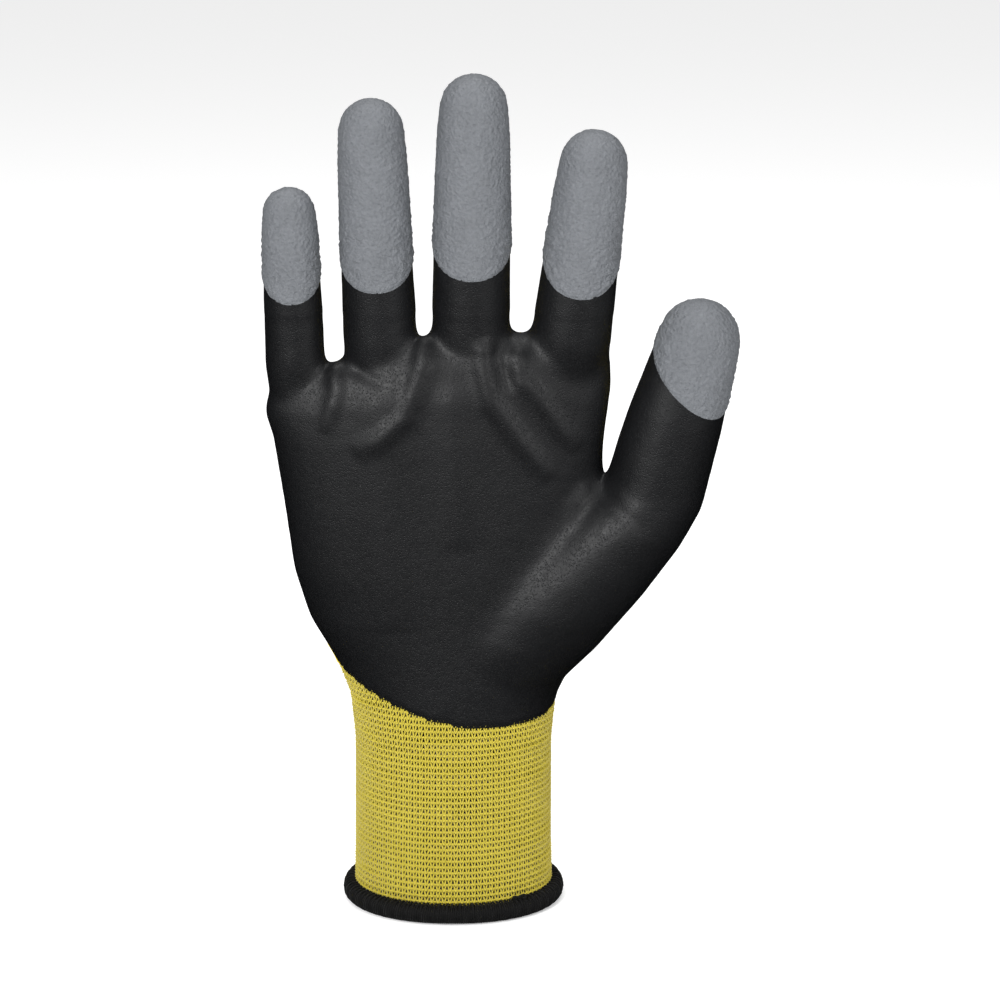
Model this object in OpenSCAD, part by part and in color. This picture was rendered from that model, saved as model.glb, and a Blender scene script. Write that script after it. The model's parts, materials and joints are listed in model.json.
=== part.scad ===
// Cut resistant work glove for the right hand, in its worn shape. A seamless knitted liner with elastic
// laid in its cuff carries a foam coat on the palm side, a second dip on every fingertip and an
// overlocked hem. The knit bends at the wrist and the knuckles. There the neighbouring shells nest like
// a ball in a socket, and a wedge on each side leaves room for half of the bend.
// Origin: middle of the cuff opening. +Z runs up the fingers, -Y faces the palm, +X is the thumb side.
// Lengths are millimetres and angles degrees. Lists of four run little, ring, middle, index finger.

/* [Cuff] */
// Half width of the cuff knit, across the hand
cuff_half_w = 29; // [26:0.5:36]
// Half depth of the cuff knit, from palm to back
cuff_half_d = 23; // [19:0.5:25]
// Height of the wrist crease above the lower face of the hem
wrist_z = 55; // [46:1:68]
// Height of the overlocked hem
hem_h = 5.5; // [4:0.5:7]
// How far the hem stands out from the knit
hem_proud = 2.8; // [1:0.2:4]
// How far the hem reaches inside the knit
hem_inside = 1; // [0.4:0.2:2]
// Height of the knit's lower edge inside the hem
hem_seat = 1.5; // [0.5:0.5:2.5]
// Length of the thread tail that starts the overlock
tail_len = 4; // [2:0.5:8]
// Number of elastic threads laid in the cuff
elastic_rows = 10; // [4:1:14]
// Thickness of one elastic thread
elastic_t = 0.5; // [0.3:0.1:0.6]
// Height of one elastic thread
elastic_h = 0.8; // [0.4:0.1:1]

/* [Palm] */
// Height from the wrist crease to the root of the middle finger
palm_len = 116; // [96:1:140]
// Sideways place of each finger's root
root_x = [-45.2, -20.3, 5.5, 34.2]; // [-50:0.1:40]
// How far each finger's root lies below the middle finger's
root_drop = [8.4, 2.3, 0, 0.9]; // [0:0.1:12]
// Radius of the hand at each knuckle
knuckle_r = [12, 13.5, 13.5, 13.5]; // [11:0.5:15]
// Sideways step from each finger's axis to its knuckle
knuckle_in = [2.2, 0, 0, -2]; // [-3:0.1:3]
// Depth of each knuckle's centre below the finger's root
knuckle_low = 13; // [10:0.5:16]
// Heel of the hand, little finger side: sideways place, height above the wrist, radius
heel = [-27.5, 45, 18]; // [-30:0.5:50]
// Ball of the thumb: sideways place, height above the wrist, radius
thumb_ball = [28, 37, 20]; // [16:0.5:45]

/* [Fingers] */
// Length of each finger's knit from its root to its tip
finger_len = [50.2, 69.4, 74, 59.5]; // [48:0.1:90]
// Radius of each finger's knit at its root
finger_r = [8.3, 10.6, 10.8, 10.9]; // [7.5:0.1:13]
// Radius of each finger's knit at its tip
finger_tip_r = [7.2, 9.3, 9.5, 9.5]; // [6.5:0.1:11.5]
// Sideways lean of each finger, towards the thumb
finger_lean = [-2.7, -3.2, 0.9, 7]; // [-5:0.1:9]
// Distance from each finger's root to its base knuckle
base_s = [8, 11, 11, 10]; // [7:0.5:13]
// Distance from each finger's root to its middle knuckle
mid_s = [24, 32.5, 34, 29.5]; // [22:0.5:38]
// Distance from each finger's root to its end knuckle
end_s = [38, 52, 54, 47]; // [36:0.5:60]

/* [Thumb] */
// Root of the thumb: sideways place, depth, height above the wrist
thumb_root = [58, -4, 70]; // [-8:0.5:80]
// Sideways lean of the thumb
thumb_lean = 15.6; // [10:0.1:22]
// Turn of the thumb's bending towards the fingers
thumb_turn = 35; // [20:1:50]
// Length of the thumb's knit from its root to its tip
thumb_len = 58; // [54:0.5:72]
// Radius of the thumb's knit at its root
thumb_r = 14; // [12:0.1:16]
// Radius of the thumb's knit at its tip
thumb_tip_r = 12; // [10:0.1:14]
// Distance from the thumb's root to its base knuckle
thumb_base_s = 12; // [10:0.5:15]
// Distance from the thumb's root to its end knuckle
thumb_tip_s = 36; // [33:0.5:42]

/* [Knit, coat and fingertip dips] */
// Thickness of the knitted liner
knit_t = 1.1; // [0.8:0.1:1.6]
// Thickness of the palm coat
coat_t = 0.6; // [0.4:0.1:1]
// Thickness of the fingertip dips
cap_t = 0.5; // [0.3:0.1:1]
// How far the coat reaches round behind the sides of the hand and the fingers
coat_wrap = 3; // [1:0.5:6]
// Height of the coat's lower edge above the wrist crease, at its lowest
coat_low = 7; // [4:0.5:12]
// Sideways place of the lowest point of the coat's edge
coat_low_x = 14; // [0:1:20]
// Rise of the coat's lower edge per square millimetre to the side
coat_curve = 0.0068; // [0.004:0.0002:0.01]
// Distance from each finger's root to the side edge of its dip
cap_edge = [24, 22.3, 22.9, 20.7]; // [19:0.1:27]
// Slant of each finger's dip edge, lower on the palm side
cap_tilt = [44, 40, 38, 44]; // [30:1:50]
// Distance from the thumb's root to the side edge of its dip
thumb_cap_edge = 34.3; // [31:0.1:38]
// Slant of the thumb's dip edge
thumb_cap_tilt = 37; // [30:1:45]
// Turn of the lowest point of the thumb's dip, from the front to the thumb side
thumb_cap_turn = 49; // [30:1:60]

/* [Label] */
// Width of the blank patch on the back of the wrist
label_w = 24; // [12:1:30]
// Height of the patch
label_h = 7; // [5:0.5:12]
// Height of the patch's lower edge above the wrist crease
label_z = 18; // [12:1:25]
// Thickness of the patch
label_t = 0.4; // [0.2:0.1:0.8]

/* [Joints] */
// Bend of the wrist, each way
wrist_bend = 35; // [20:1:40]
// Bend of a finger's base knuckle towards the palm
base_bend = 60; // [40:1:70]
// Bend of a base knuckle backwards
base_back = 15; // [5:1:20]
// Bend of a finger's middle knuckle
mid_bend = 80; // [50:1:85]
// Bend of a finger's end knuckle, which follows the middle one
end_bend = 44; // [25:1:50]
// Bend of the thumb's base knuckle towards the palm
thumb_base_bend = 40; // [25:1:45]
// Bend of the thumb's base knuckle backwards
thumb_base_back = 15; // [5:1:20]
// Bend of the thumb's end knuckle
thumb_tip_bend = 60; // [40:1:70]
// Clearance between nested shells
joint_gap = 0.3; // [0.25:0.05:0.5]
// Thickness of a nested ball
ball_t = 1; // [0.8:0.1:1.3]

/* [Hidden] */

// Digits by number, from the little finger to the thumb
LITTLE = 0;
RING = 1;
MIDDLE = 2;
INDEX = 3;
THUMB = 4;
DIGITS = [LITTLE, RING, MIDDLE, INDEX, THUMB];

// Colours of the knit, the coat and the dips
knit_colour = "#d6c63c";
coat_colour = "#232427";
cap_colour = "#8a8d92";

// Facets of turned shells and of the palm's rounded forms
turned_fn = 64;
soft_fn = 32;
// Steps of the arc over a fingertip
tip_steps = 10;
// Reach of the cutting blocks past everything they cut
far = 90;
// How far a nested ball's sleeve laps up into its own shell
sleeve_lap = 1.5;
// Share of a nested ball's radius that stays open at its bottom
ball_open = 0.6;
// Overlap of pieces of one hollow, so that they join
join = 0.5;
// Centre of each round end of the cuff's outline
cuff_end_x = cuff_half_w - cuff_half_d;
// Radius of the wrist's nested ball, and the height of its sleeve
wrist_ball_r = cuff_half_d - knit_t - joint_gap;
wrist_sleeve = cuff_half_d * tan(wrist_bend / 2) + sleeve_lap;
// Places of the lowest and the highest elastic thread
elastic_low = hem_h + 3;
elastic_high = wrist_z - wrist_ball_r * ball_open;
// Outline of the overlock's thread tail: its width, thickness and sideways place
tail_w = 1.2;
tail_t = 0.9;
tail_x = 19;

// Root, lean and turn of a digit's own frame, in which s runs along +Z and the palm side is -Y
function digit_root(d) = d < THUMB
    ? [root_x[d], 0, wrist_z + palm_len - root_drop[d]]
    : [thumb_root[0], thumb_root[1], wrist_z + thumb_root[2]];
function digit_lean(d) = d < THUMB ? finger_lean[d] : thumb_lean;
function digit_turn(d) = d < THUMB ? 0 : -thumb_turn;

// Length and radii of a digit's knit
function digit_len(d) = d < THUMB ? finger_len[d] : thumb_len;
function root_r(d) = d < THUMB ? finger_r[d] : thumb_r;
function tip_r(d) = d < THUMB ? finger_tip_r[d] : thumb_tip_r;
function cone_end(d) = digit_len(d) - tip_r(d);
function knit_r(d, s) = root_r(d) + (tip_r(d) - root_r(d)) * s / cone_end(d);

// Hinges of a digit, and how far each bends to the palm and back
function hinges(d) = d < THUMB ? [base_s[d], mid_s[d], end_s[d]] : [thumb_base_s, thumb_tip_s];
function bends(d) = d < THUMB ? [base_bend, mid_bend, end_bend] : [thumb_base_bend, thumb_tip_bend];
function backs(d) = d < THUMB ? [base_back, 0, 0] : [thumb_base_back, 0];
function ball_r(d, k) = knit_r(d, hinges(d)[k]) - knit_t - joint_gap;
function sleeve_end(d, k) =
    hinges(d)[k] + knit_r(d, hinges(d)[k]) * tan(bends(d)[k] / 2) + sleeve_lap;

// Side edge, slant and turn of a digit's dip
function dip_edge(d) = d < THUMB ? cap_edge[d] : thumb_cap_edge;
function dip_tilt(d) = d < THUMB ? cap_tilt[d] : thumb_cap_tilt;
function dip_turn(d) = d < THUMB ? 0 : thumb_turn + thumb_cap_turn;

module at_digit(d) {
    translate(digit_root(d)) rotate([0, digit_lean(d), 0]) rotate([0, 0, digit_turn(d)]) children();
}

// A block with the given outline in Y and Z, running along X
module side_block(outline) {
    rotate([90, 0, 90]) linear_extrude(2 * far, center = true) polygon(outline);
}

// All that lies above, or below, a hinge at height z whose walls part by half of each bend
module above_hinge(z, bend, back) {
    side_block([
        [-far, z + joint_gap / 2 + far * tan(bend / 2)],
        [0, z + joint_gap / 2],
        [far, z + joint_gap / 2 + far * tan(back / 2)],
        [far, z + 2 * far],
        [-far, z + 2 * far]
    ]);
}

module below_hinge(z, bend, back) {
    side_block([
        [-far, z - joint_gap / 2 - far * tan(bend / 2)],
        [0, z - joint_gap / 2],
        [far, z - joint_gap / 2 - far * tan(back / 2)],
        [far, z - 2 * far],
        [-far, z - 2 * far]
    ]);
}

// What is above the lower shell's edge at a digit's base knuckle, cut from the palm
module digit_clear(d) {
    z = hinges(d)[0];
    reach = max(root_r(d), d < THUMB ? knuckle_r[d] : 0) + coat_t;
    difference() {
        translate([0, 0, z - far / 2]) cylinder(h = far, r = reach, $fn = turned_fn);
        below_hinge(z, bends(d)[0], backs(d)[0]);
    }
}

// The part of a digit that moves with its segment k
module segment_space(d, k) {
    intersection() {
        above_hinge(hinges(d)[k], bends(d)[k], backs(d)[k]);
        if (k + 1 < len(hinges(d))) below_hinge(hinges(d)[k + 1], bends(d)[k + 1], backs(d)[k + 1]);
    }
}

// Half outline of a digit from its root up to its round tip, grown by grow
module digit_outline(d, grow) {
    polygon(concat(
        [[0, 0], [knit_r(d, 0) + grow, 0]],
        [for (i = [0 : tip_steps])
            let (a = 90 * i / tip_steps, r = tip_r(d) + grow)
            [i < tip_steps ? r * cos(a) : 0, cone_end(d) + r * sin(a)]]
    ));
}

module digit_form(d, grow) {
    rotate_extrude($fn = turned_fn) digit_outline(d, grow);
}

// A half disc under a hinge, turned into the nested ball or its hollow
module half_disc(z, r) {
    intersection() {
        translate([0, z]) circle(r, $fn = turned_fn);
        translate([0, z - r]) square([r, r]);
    }
}

module digit_ball(d, k) {
    z = hinges(d)[k];
    r = ball_r(d, k);
    rotate_extrude($fn = turned_fn) {
        half_disc(z, r);
        translate([0, z]) square([r, sleeve_end(d, k) - z]);
    }
}

module digit_hollow(d, k) {
    z = hinges(d)[k];
    r = ball_r(d, k) - ball_t;
    open_r = ball_open * ball_r(d, k);
    rotate_extrude($fn = turned_fn) {
        half_disc(z, r);
        translate([0, z - ball_r(d, k) - join]) square([open_r, ball_r(d, k) + join]);
        translate([0, z]) square([r, sleeve_end(d, k) - z + join]);
        intersection() {
            digit_outline(d, -knit_t);
            translate([0, sleeve_end(d, k)]) square([far, far]);
        }
    }
}

// The side of a digit that its fingertip dip covers, and the side that the coat covers
module cap_space(d) {
    rise = far * tan(dip_tilt(d));
    rotate([0, 0, dip_turn(d)]) side_block([
        [-far, dip_edge(d) - rise],
        [far, dip_edge(d) + rise],
        [far, 3 * far],
        [-far, 3 * far]
    ]);
}

module coat_space(d) {
    rotate([0, 0, -digit_turn(d)]) translate([-far, -far, -far]) cube([2 * far, far + coat_wrap, 3 * far]);
    cap_space(d);
}

module digit_knit(d, k) {
    color(knit_colour) at_digit(d) difference() {
        union() {
            intersection() {
                digit_form(d, 0);
                segment_space(d, k);
            }
            digit_ball(d, k);
        }
        digit_hollow(d, k);
    }
}

module digit_coat(d, k) {
    color(coat_colour) at_digit(d) intersection() {
        difference() {
            digit_form(d, coat_t);
            digit_form(d, 0);
        }
        segment_space(d, k);
        coat_space(d);
    }
}

module digit_cap(d, k) {
    color(cap_colour) at_digit(d) intersection() {
        difference() {
            digit_form(d, coat_t + cap_t);
            digit_form(d, coat_t);
        }
        segment_space(d, k);
        cap_space(d);
    }
}

// Outline of the cuff with round ends of radius r
module cuff_outline(r, facets = turned_fn) {
    for (side = [-1, 1]) translate([side * cuff_end_x, 0]) circle(r, $fn = facets);
    square([2 * cuff_end_x, 2 * r], center = true);
}

module soft_ball(place, r) {
    translate(place) sphere(r, $fn = soft_fn);
}

module knuckle(d, grow) {
    soft_ball([knuckle_in[d], 0, -knuckle_low], knuckle_r[d] + grow);
}

module thumb_ball_form(grow) {
    soft_ball([thumb_ball[0], 0, wrist_z + thumb_ball[1]], thumb_ball[2] + grow);
}

// The palm from height z up, with the stub of each digit up to its base knuckle plus run_on
module palm_form(grow, z, run_on = 0) {
    hull() {
        translate([0, 0, z]) linear_extrude(join) cuff_outline(cuff_half_d + grow, soft_fn);
        soft_ball([heel[0], 0, wrist_z + heel[1]], heel[2] + grow);
        thumb_ball_form(grow);
        for (d = [LITTLE : INDEX]) at_digit(d) knuckle(d, grow);
    }
    hull() {
        thumb_ball_form(grow);
        at_digit(THUMB) soft_ball([0, 0, 0], thumb_r + grow);
    }
    for (d = DIGITS) {
        joint_r = knit_r(d, hinges(d)[0]) + grow;
        at_digit(d) hull() {
            if (d < THUMB) knuckle(d, grow);
            if (d == THUMB) soft_ball([0, 0, 0], thumb_r + grow);
            cylinder(h = hinges(d)[0] + run_on, r1 = root_r(d) + grow, r2 = joint_r, $fn = turned_fn);
        }
    }
}

// What is cleared from the palm, so that the cuff and the digits can turn
module palm_clear() {
    difference() {
        translate([-far, -far, -far]) cube([2 * far, 2 * far, far + wrist_z + far / 2]);
        above_hinge(wrist_z, wrist_bend, wrist_bend);
    }
    for (d = DIGITS) at_digit(d) digit_clear(d);
}

// The wrist's nested ball, long across the hand, with the sleeve that joins it to the palm
module wrist_nest(r, sleeve) {
    hull() for (side = [-1, 1]) soft_ball([side * cuff_end_x, 0, wrist_z], r);
    translate([0, 0, wrist_z]) linear_extrude(sleeve) cuff_outline(r, soft_fn);
}

module palm_knit() {
    color(knit_colour) difference() {
        union() {
            difference() {
                palm_form(0, wrist_z);
                palm_clear();
            }
            wrist_nest(wrist_ball_r, wrist_sleeve);
        }
        palm_form(-knit_t, wrist_z + wrist_sleeve, far);
        wrist_nest(wrist_ball_r - ball_t, wrist_sleeve + join);
        translate([0, 0, wrist_z - wrist_ball_r - join]) linear_extrude(wrist_ball_r)
            square(2 * [cuff_end_x + wrist_ball_r * ball_open, wrist_ball_r * ball_open], center = true);
    }
}

// Everything in front of the wrap and above the coat's curved lower edge
module palm_coat_space() {
    edge_steps = 12;
    edge = [for (i = [0 : edge_steps]) let (x = -far + 2 * far * i / edge_steps)
        [x, wrist_z + coat_low + coat_curve * pow(x - coat_low_x, 2)]];
    translate([0, coat_wrap, 0]) rotate([90, 0, 0]) linear_extrude(far)
        polygon(concat(edge, [[far, 3 * far], [-far, 3 * far]]));
}

module palm_coat() {
    color(coat_colour) intersection() {
        difference() {
            palm_form(coat_t, wrist_z);
            palm_form(0, wrist_z);
            palm_clear();
        }
        palm_coat_space();
    }
}

module back_label() {
    color("#e3cf45") intersection() {
        difference() {
            palm_form(label_t, wrist_z);
            palm_form(0, wrist_z);
        }
        translate([-far, coat_wrap + join, wrist_z + label_z])
            cube([far + heel[0] + label_w - heel[2] / 2, far, label_h]);
    }
}

module cuff_knit() {
    color(knit_colour) intersection() {
        translate([0, 0, hem_seat]) linear_extrude(wrist_z - hem_seat) difference() {
            cuff_outline(cuff_half_d);
            cuff_outline(cuff_half_d - knit_t);
        }
        below_hinge(wrist_z, wrist_bend, wrist_bend);
    }
}

module cuff_elastic() {
    color("#e9e4cf") for (row = [0 : elastic_rows - 1])
        translate([0, 0, elastic_low + (elastic_high - elastic_low) * row / (elastic_rows - 1)])
            linear_extrude(elastic_h) difference() {
                cuff_outline(cuff_half_d - knit_t);
                cuff_outline(cuff_half_d - knit_t - elastic_t);
            }
}

module cuff_hem() {
    color("#161616") difference() {
        linear_extrude(hem_h) difference() {
            cuff_outline(cuff_half_d + hem_proud);
            cuff_outline(cuff_half_d - knit_t - hem_inside);
        }
        translate([0, 0, hem_seat]) linear_extrude(hem_h) difference() {
            cuff_outline(cuff_half_d);
            cuff_outline(cuff_half_d - knit_t);
        }
    }
}

module hem_thread_tail() {
    turn = asin((tail_x - cuff_end_x) / cuff_half_d);
    color("#161616") translate([cuff_end_x, 0, hem_h]) rotate([0, 0, turn])
        translate([-tail_len / 2, -cuff_half_d - tail_t, 0]) cube([tail_len, tail_t, tail_w]);
}

cuff_hem();
hem_thread_tail();
cuff_knit();
cuff_elastic();
palm_knit();
palm_coat();
back_label();
digit_knit(LITTLE, 0);  // little_base_knit
digit_knit(LITTLE, 1);  // little_mid_knit
digit_knit(LITTLE, 2);  // little_tip_knit
digit_coat(LITTLE, 0);  // little_base_coat
digit_coat(LITTLE, 1);  // little_mid_coat
digit_coat(LITTLE, 2);  // little_tip_coat
digit_cap(LITTLE, 1);  // little_mid_cap
digit_cap(LITTLE, 2);  // little_tip_cap
digit_knit(RING, 0);  // ring_base_knit
digit_knit(RING, 1);  // ring_mid_knit
digit_knit(RING, 2);  // ring_tip_knit
digit_coat(RING, 0);  // ring_base_coat
digit_coat(RING, 1);  // ring_mid_coat
digit_coat(RING, 2);  // ring_tip_coat
digit_cap(RING, 0);  // ring_base_cap
digit_cap(RING, 1);  // ring_mid_cap
digit_cap(RING, 2);  // ring_tip_cap
digit_knit(MIDDLE, 0);  // middle_base_knit
digit_knit(MIDDLE, 1);  // middle_mid_knit
digit_knit(MIDDLE, 2);  // middle_tip_knit
digit_coat(MIDDLE, 0);  // middle_base_coat
digit_coat(MIDDLE, 1);  // middle_mid_coat
digit_coat(MIDDLE, 2);  // middle_tip_coat
digit_cap(MIDDLE, 0);  // middle_base_cap
digit_cap(MIDDLE, 1);  // middle_mid_cap
digit_cap(MIDDLE, 2);  // middle_tip_cap
digit_knit(INDEX, 0);  // index_base_knit
digit_knit(INDEX, 1);  // index_mid_knit
digit_knit(INDEX, 2);  // index_tip_knit
digit_coat(INDEX, 0);  // index_base_coat
digit_coat(INDEX, 1);  // index_mid_coat
digit_coat(INDEX, 2);  // index_tip_coat
digit_cap(INDEX, 0);  // index_base_cap
digit_cap(INDEX, 1);  // index_mid_cap
digit_cap(INDEX, 2);  // index_tip_cap
digit_knit(THUMB, 0);  // thumb_base_knit
digit_knit(THUMB, 1);  // thumb_tip_knit
digit_coat(THUMB, 0);  // thumb_base_coat
digit_coat(THUMB, 1);  // thumb_tip_coat
digit_cap(THUMB, 0);  // thumb_base_cap
digit_cap(THUMB, 1);  // thumb_tip_cap
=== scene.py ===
import json
import math
import bpy
import bmesh
import numpy as np
from mathutils import Matrix, Vector, noise
from mathutils.bvhtree import BVHTree

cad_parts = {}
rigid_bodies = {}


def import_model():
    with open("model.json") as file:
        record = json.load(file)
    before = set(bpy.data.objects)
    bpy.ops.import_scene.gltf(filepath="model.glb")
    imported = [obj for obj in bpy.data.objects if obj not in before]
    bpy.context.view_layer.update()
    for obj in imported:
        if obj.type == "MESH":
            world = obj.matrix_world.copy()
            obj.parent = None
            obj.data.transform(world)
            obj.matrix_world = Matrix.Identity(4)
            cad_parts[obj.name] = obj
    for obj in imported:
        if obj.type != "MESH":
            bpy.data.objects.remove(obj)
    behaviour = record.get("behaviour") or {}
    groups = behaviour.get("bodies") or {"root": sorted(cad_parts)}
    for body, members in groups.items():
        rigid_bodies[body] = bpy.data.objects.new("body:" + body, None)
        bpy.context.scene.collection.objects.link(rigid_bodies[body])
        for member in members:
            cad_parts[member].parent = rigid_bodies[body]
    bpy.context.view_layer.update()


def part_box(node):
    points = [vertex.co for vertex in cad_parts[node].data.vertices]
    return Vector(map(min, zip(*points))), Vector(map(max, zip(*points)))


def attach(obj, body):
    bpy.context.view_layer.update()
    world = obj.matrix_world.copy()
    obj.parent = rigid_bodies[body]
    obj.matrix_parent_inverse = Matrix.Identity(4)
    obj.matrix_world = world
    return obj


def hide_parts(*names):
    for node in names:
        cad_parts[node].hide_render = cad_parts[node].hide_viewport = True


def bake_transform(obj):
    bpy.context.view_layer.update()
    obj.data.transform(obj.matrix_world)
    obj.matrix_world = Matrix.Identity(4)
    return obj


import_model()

# ---------------------------------------------------------------------------
# Hand form
# The porcelain hand that the knitted liner is pulled over, dipped on and cured on.
# Every layer of the glove is taken from its surface, and it is gone once the last layer is on.
# It is worked in millimetres, and each piece is turned to metres when it is finished.
# ---------------------------------------------------------------------------
mm = 0.001


def oval(bm, place, left, right, front, back, square=2.3):
    """One cross-section of the hand, with its own reach to each side, to the palm and to the back."""
    verts = bmesh.ops.create_circle(bm, segments=64, radius=1)["verts"]
    for v in verts:
        x, y = v.co.x, v.co.y
        out = (abs(x) ** square + abs(y) ** square) ** (-1 / square)
        x, y = x * out, y * out
        v.co = place @ Vector(((left + right) / 2 + x * (right - left) / 2, y * (front if y < 0 else back), 0))
    return list(dict.fromkeys(e for v in verts for e in v.link_edges))


def loft(bm, rings):
    """Joins each cross-section to the next, and closes both ends."""
    for lower, upper in zip(rings, rings[1:]):
        bmesh.ops.bridge_loops(bm, edges=lower + upper)
    for end in (rings[0], rings[-1]):
        bmesh.ops.contextual_create(bm, geom=end)


hand = bmesh.new()
# height, left and right reach, depth of the palm side and of the back, squareness
palm_levels = [
    (1.5, -29, 29, 23, 23, 2.1), (20, -28.6, 28.6, 22.6, 22.6, 2.1), (50, -28.3, 28.6, 22, 22, 2.1),
    (64, -29.6, 30, 21.5, 21.2, 2.15), (76, -34.2, 36, 20.6, 20, 2.25), (88, -41.2, 40, 19.6, 18.4, 2.35),
    (102, -45.4, 43, 18.5, 17, 2.5), (122, -48, 43, 16.6, 15.4, 2.6), (142, -51, 43.4, 14.6, 14.4, 2.6),
    (156, -53.4, 45.3, 12.8, 13.6, 2.5), (165, -52.2, 45, 10.4, 11.4, 2.4), (170.5, -47.5, 41.5, 6.0, 6.6, 2.3),
]
rings = []
for z, left, right, front, back, square in palm_levels:
    rings.append(oval(hand, Matrix.Translation((0, 0, z)), left, right, front, back, square))
    for v in {v for e in rings[-1] for v in e.verts}:   # the little finger starts lower than the others
        lower = max(0, -9 - v.co.x) * 0.3 * max(0, (z - 142) / 26)
        v.co.z -= lower
loft(hand, rings)

# Each finger: where its root is, how far it leans, and its radius along its length
digits = {
    "little": dict(root=(-44.7, 0, 162.6), lean=-1.6, length=50.2, radii=(8.2, 7.7, 6.6), splits=(14.9, 33.1),
                   bends=((1.2, 14.8), (15, 33), (33.2, 43)), dip=(25.7, 44, 0)),
    "ring": dict(root=(-20.3, 0, 168.7), lean=-2.0, length=69.4, radii=(10.2, 9.4, 8.3), splits=(20.4, 44.65),
                 bends=((2.4, 19.6), (21.2, 43.8), (45.5, 58.5)), dip=(24, 40, 0)),
    "middle": dict(root=(5.5, 0, 171), lean=0.9, length=74, radii=(10.7, 10.2, 8.6), splits=(21, 46.5),
                   bends=((2.4, 19.6), (22.5, 45.5), (47.5, 60.5)), dip=(25.2, 38, 0)),
    "index": dict(root=(34.2, 0, 170.1), lean=7, length=59.5, radii=(11.0, 10.1, 8.6), splits=(18.7, 40.35),
                  bends=((1.4, 18.6), (18.8, 40.2), (40.5, 53.5)), dip=(23, 44, 0)),
    "thumb": dict(root=(58, -4, 125), lean=15.6, length=58, radii=(14.2, 13.2, 11.0), splits=(22.75,),
                  bends=((4, 20), (25.5, 46.5)), dip=(37, 37, 37)),
}
for name, digit in digits.items():
    digit["place"] = Matrix.Translation(digit["root"]) @ Matrix.Rotation(math.radians(digit["lean"]), 4, "Y")
    digit["back"] = digit["place"].inverted()
    root_r, mid_r, tip_r = digit["radii"]
    length = digit["length"]
    sections = [(-13, root_r * 0.8), (-4, root_r * 0.96), (0, root_r), (length * 0.4, mid_r),
                (length - tip_r * 1.9, (mid_r + tip_r * 1.4) / 2.4)]
    dome = np.radians([0, 18, 36, 52, 66, 78, 86])
    sections += [(length - tip_r + tip_r * math.sin(a), tip_r * math.cos(a)) for a in dome]
    if name == "thumb":
        sections = sections[2:]
    rings = [oval(hand, digit["place"] @ Matrix.Translation((0, 0, s)), -r, r, r * 0.95, r * 0.95, 2.05)
             for s, r in sections]
    if name == "thumb":   # the ball of the thumb, from the thumb's root in to the middle of the wrist
        ball = ((52, -4.5, 117, 15.2, 26), (42, -4.5, 106, 16.6, 38), (28, -4, 92, 18.4, 42), (12, -2, 77, 19.2, 44))
        for x, y, z, r, lean in ball:
            place = Matrix.Translation((x, y, z)) @ Matrix.Rotation(math.radians(lean), 4, "Y")
            rings.insert(0, oval(hand, place, -r, r, r * 0.98, r * 0.92, 2.1))
    loft(hand, rings)
bmesh.ops.recalc_face_normals(hand, faces=hand.faces)

mesh = bpy.data.meshes.new("hand_form")
hand.to_mesh(mesh)
hand.free()
form = bpy.data.objects.new("hand_form", mesh)
bpy.context.scene.collection.objects.link(form)
fuse = form.modifiers.new("fuse", "REMESH")   # makes one skin of the palm and the fingers
fuse.mode, fuse.voxel_size = "VOXEL", 0.85
hand = bmesh.new()
hand.from_mesh(bpy.data.meshes.new_from_object(form.evaluated_get(bpy.context.evaluated_depsgraph_get())))
bpy.data.objects.remove(form)


def ease(t):
    """A smooth step from 0 to 1."""
    t = min(1, max(0, t))
    return t * t * (3 - 2 * t)


def soften(bm, verts, times):
    for _ in range(times):
        bmesh.ops.smooth_vert(bm, verts=verts, factor=0.5, use_axis_x=True, use_axis_y=True, use_axis_z=True)


soften(hand, hand.verts, 8)
webs = [Vector((-34.4, 0, 162)), Vector((-7.3, 0, 170.6)), Vector((18.9, 0, 171)), Vector((42, -3, 129))]
for web, reach in zip(webs, (8, 8, 8, 13)):
    soften(hand, [v for v in hand.verts if (v.co - web).length < reach], 26)
ball_edge = [(16, -17, 84), (22, -17, 94), (28, -16, 104), (36, -15, 114), (42, -13, 124)]
for spot in ball_edge:   # no crease beside the ball of the thumb
    soften(hand, [v for v in hand.verts if (v.co - Vector(spot)).length < 12], 25)
soften(hand, [v for v in hand.verts if 60 < v.co.z < 178], 14)

# Soft folds in the palm: a line of points across it, how high it stands (below 0 it is a crease), and how wide
folds = [
    ([(-7.5, 172), (-8.1, 164), (-12.8, 150), (-20, 143.5), (-27.5, 140)], 1.6, 2.7),
    ([(9.3, 168), (9.1, 164), (11.5, 154), (20.9, 141), (28, 132)], 1.8, 2.8),
    ([(19, 166), (20, 160), (24, 156), (31, 146), (36, 140)], 1.3, 2.4),
    ([(-33.5, 164), (-32.5, 156.6), (-36, 145)], 1.3, 2.2),
    ([(-26, 162), (-18, 158)], -0.8, 2.0),
    ([(15, 163), (17, 157)], -0.8, 2.2),
    ([(-20, 152), (-19, 120), (-16, 88)], 1.3, 7.0),
    ([(0, 153), (2, 128), (3, 112)], 0.9, 4.5),
    ([(42, 128), (30, 116), (22, 100), (16, 84)], -0.8, 9.0),
    ([(44, 126), (50, 121), (56, 118)], -0.7, 2.4),
    ([(38, 127), (34, 122), (33, 116)], 0.7, 2.2),
]
hand.normal_update()
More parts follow.
